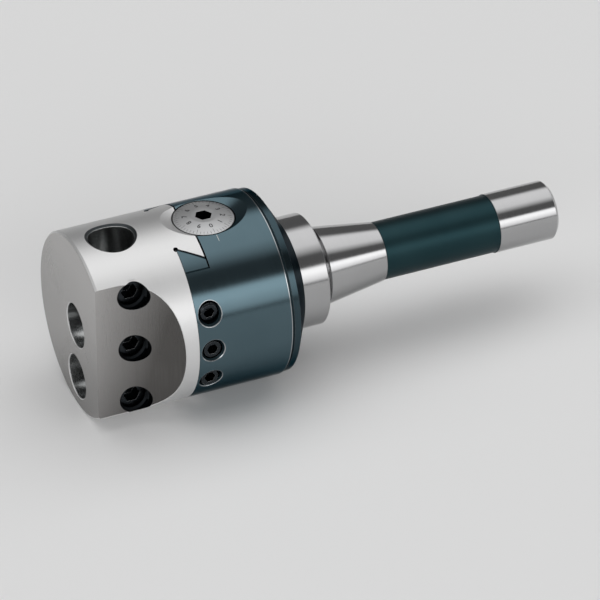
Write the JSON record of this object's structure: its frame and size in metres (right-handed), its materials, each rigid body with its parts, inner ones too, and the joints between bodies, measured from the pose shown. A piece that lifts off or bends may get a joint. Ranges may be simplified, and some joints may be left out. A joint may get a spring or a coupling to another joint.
{
  "type": "boring head",
  "caption": "Round boring head with a dovetail tool slide moved by a graduated feed screw, bar bores with clamp screws, and a steep-taper arbor with a drawbar thread.",
  "frame": {"origin": "where the spindle axis meets the tool face, which has the bar bores", "axes": "+X along the spindle axis, from the tool face towards the arbor; +Z along the slide's travel, towards the dial; -Y is the front, with the clamp screws and gib screws"},
  "size_m": [0.2033, 0.075, 0.075],
  "materials": {
    "black_oxide": "satin blued steel",
    "ground_steel": "bright ground steel",
    "dial_steel": "satin chromed steel",
    "screw_black": "black oxide",
    "bronze": "machined bronze",
    "arbor_steel": "ground steel, black between the taper and the pilot"
  },
  "bodies": {
    "head": {"head_body": "black_oxide", "gib": "black_oxide", "arbor": "arbor_steel", "lock_pad": "bronze", "gland_nut": "black_oxide", "disc_spring": "ground_steel", "thrust_washer_upper": "ground_steel", "thrust_washer_lower": "ground_steel", "journal_bush": "bronze"},
    "slide": {"tool_slide": "ground_steel", "feed_nut": "bronze", "nut_pin": "ground_steel"},
    "feed": {"feed_screw": "dial_steel", "graduated_dial": "dial_steel", "dial_pin": "screw_black"},
    "clamp_cross": {"clamp_screw_cross": "screw_black"},
    "clamp_centre": {"clamp_screw_centre": "screw_black"},
    "clamp_offset": {"clamp_screw_offset": "screw_black"},
    "gib_upper": {"gib_screw_upper": "screw_black"},
    "gib_lock": {"gib_lock_screw": "screw_black"},
    "gib_lower": {"gib_screw_lower": "screw_black"},
    "arbor_lock": {"arbor_lock_screw": "screw_black"}
  },
  "joints": [
    {"name": "dial_turn", "type": "hinge", "parent": "head", "child": "feed", "pos_m": [0.0542, 0, 0], "axis": [0, 0, 1], "range_deg": [-5760, 0]},
    {"name": "slide_travel", "type": "slide", "parent": "head", "child": "slide", "axis": [0, 0, 1], "range_m": [0, 0.016]},
    {"name": "clamp_cross_turn", "type": "hinge", "parent": "slide", "child": "clamp_cross", "pos_m": [0.015, -0.00904, 0.024], "axis": [0, -1, 0], "range_deg": [0, 720]},
    {"name": "clamp_centre_turn", "type": "hinge", "parent": "slide", "child": "clamp_centre", "pos_m": [0.015, -0.00904, 0], "axis": [0, -1, 0], "range_deg": [0, 720]},
    {"name": "clamp_offset_turn", "type": "hinge", "parent": "slide", "child": "clamp_offset", "pos_m": [0.015, -0.00904, -0.024], "axis": [0, -1, 0], "range_deg": [0, 720]},
    {"name": "gib_upper_turn", "type": "hinge", "parent": "head", "child": "gib_upper", "pos_m": [0.0422, -0.02389, 0.015], "axis": [0, -1, 0], "range_deg": [0, 360]},
    {"name": "gib_lock_turn", "type": "hinge", "parent": "head", "child": "gib_lock", "pos_m": [0.0422, -0.02389, 0], "axis": [0, -1, 0], "range_deg": [0, 360]},
    {"name": "gib_lower_turn", "type": "hinge", "parent": "head", "child": "gib_lower", "pos_m": [0.0422, -0.02389, -0.015], "axis": [0, -1, 0], "range_deg": [0, 360]},
    {"name": "arbor_lock_turn", "type": "hinge", "parent": "head", "child": "arbor_lock", "pos_m": [0.073, 0.02315, 0], "axis": [0, 1, 0], "range_deg": [0, 720]}
  ],
  "couplings": [
    {"joint": "dial_turn", "follows": "slide_travel", "rad_per_m": -6283.2}
  ]
}
